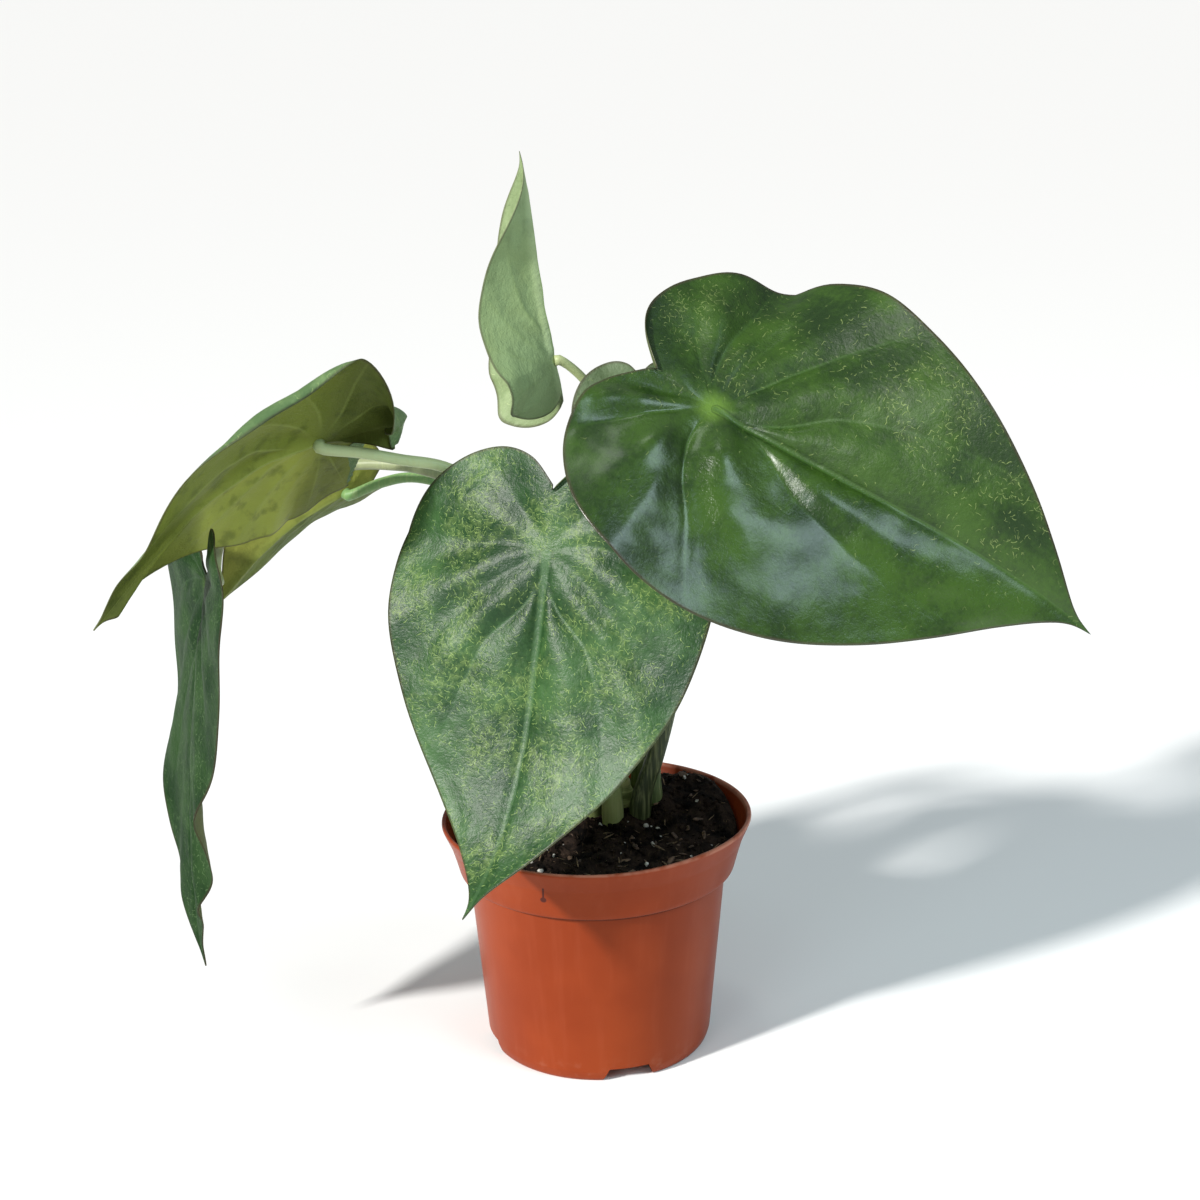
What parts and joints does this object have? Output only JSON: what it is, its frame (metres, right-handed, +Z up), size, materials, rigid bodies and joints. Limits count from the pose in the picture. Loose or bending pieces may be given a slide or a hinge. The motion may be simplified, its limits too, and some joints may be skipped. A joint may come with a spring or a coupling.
{
  "type": "potted alocasia cucullata",
  "caption": "Young potted alocasia cucullata: heart-shaped glossy green leaves on long arching stalks, in a round terracotta-coloured plastic nursery pot filled with soil.",
  "frame": {"origin": "middle of the plant's whole width and depth, on the surface that the pot stands on", "axes": "+Z up, -Y towards the viewer of the picture, +X to the picture's right"},
  "size_m": [0.3478, 0.1605, 0.3437],
  "materials": {
    "terracotta_plastic": "smooth moulded plastic with a soft gloss",
    "potting_soil": "matt, damp, crumbly",
    "pale_stem": "satin plant skin",
    "stalk_green": "satin plant skin",
    "blade_deep_green": "glossy leaf with pale veins",
    "blade_mid_green": "satin leaf with pale flecks",
    "blade_young_green": "satin young leaf",
    "blade_olive_green": "satin leaf seen from below"
  },
  "bodies": {
    "root": {"pot": "terracotta_plastic", "soil": "potting_soil", "stem_base": "pale_stem", "stalk_right_large": "stalk_green", "blade_right_large": "blade_deep_green", "stalk_front_large": "stalk_green", "blade_front_large": "blade_mid_green", "stalk_back_upright": "stalk_green", "blade_back_upright": "blade_young_green", "stalk_left_upper": "stalk_green", "blade_left_upper": "blade_olive_green", "stalk_left_lower": "stalk_green", "blade_left_lower": "blade_olive_green", "stalk_left_hanging": "stalk_green", "blade_left_hanging": "blade_deep_green", "stalk_right_small": "stalk_green", "blade_right_small": "blade_mid_green"}
  },
  "joints": []
}
